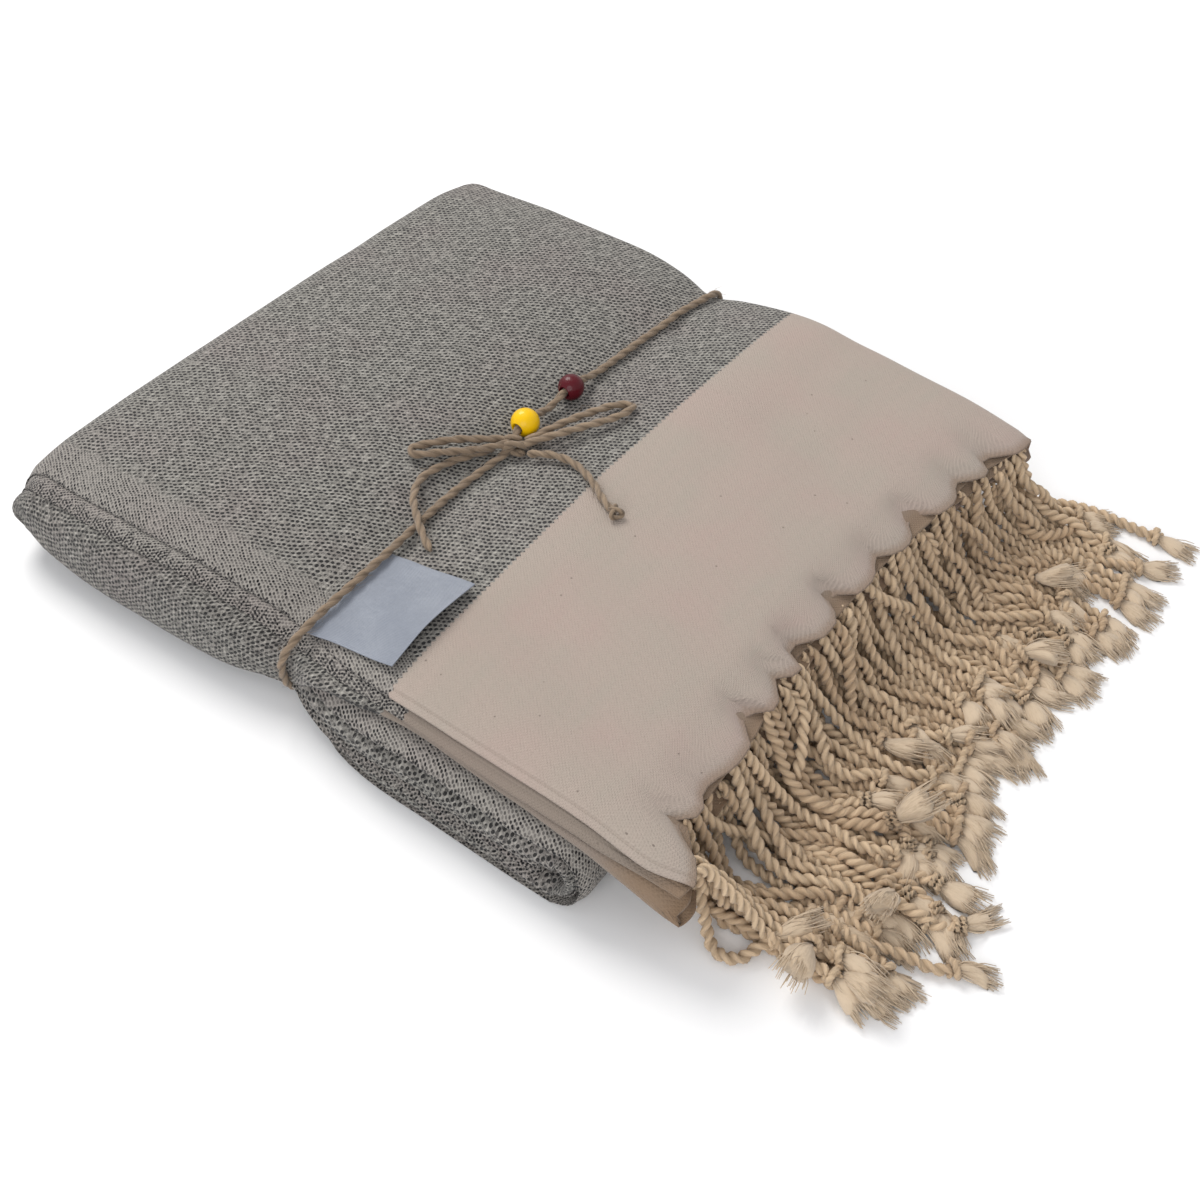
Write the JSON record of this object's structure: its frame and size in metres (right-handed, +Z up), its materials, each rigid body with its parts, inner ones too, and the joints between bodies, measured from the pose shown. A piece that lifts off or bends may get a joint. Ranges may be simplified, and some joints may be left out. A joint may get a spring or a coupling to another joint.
{
  "type": "folded hammam towel tied with twine",
  "caption": "Flat-woven fringed bath towel, folded into a flat bundle and tied round the middle with a twine bow, two threaded beads and a sewn plain label.",
  "frame": {"origin": "centre of the bundle's footprint, fringe included, on the surface that it rests on", "axes": "+X along the bundle towards the fringed end, +Z up, -Y the side with the selvedges"},
  "size_m": [0.3674, 0.249, 0.0427],
  "materials": {
    "cloth": "flat-woven cotton, ecru with dark flecks, plain cream band at the fringed end",
    "fringe": "twisted cotton cords, knotted, with loose tufts",
    "label": "pale blue satin ribbon, bare",
    "twine": "jute twine, two plies, hairy",
    "bead_yellow": "glossy yellow",
    "bead_red": "glossy dark red"
  },
  "bodies": {
    "root": {"cloth": "cloth", "fringe": "fringe", "label": "label", "twine_tie": "twine", "twine_end_long": "twine", "twine_end_short": "twine", "bead_yellow": "bead_yellow", "bead_red": "bead_red"}
  },
  "joints": []
}
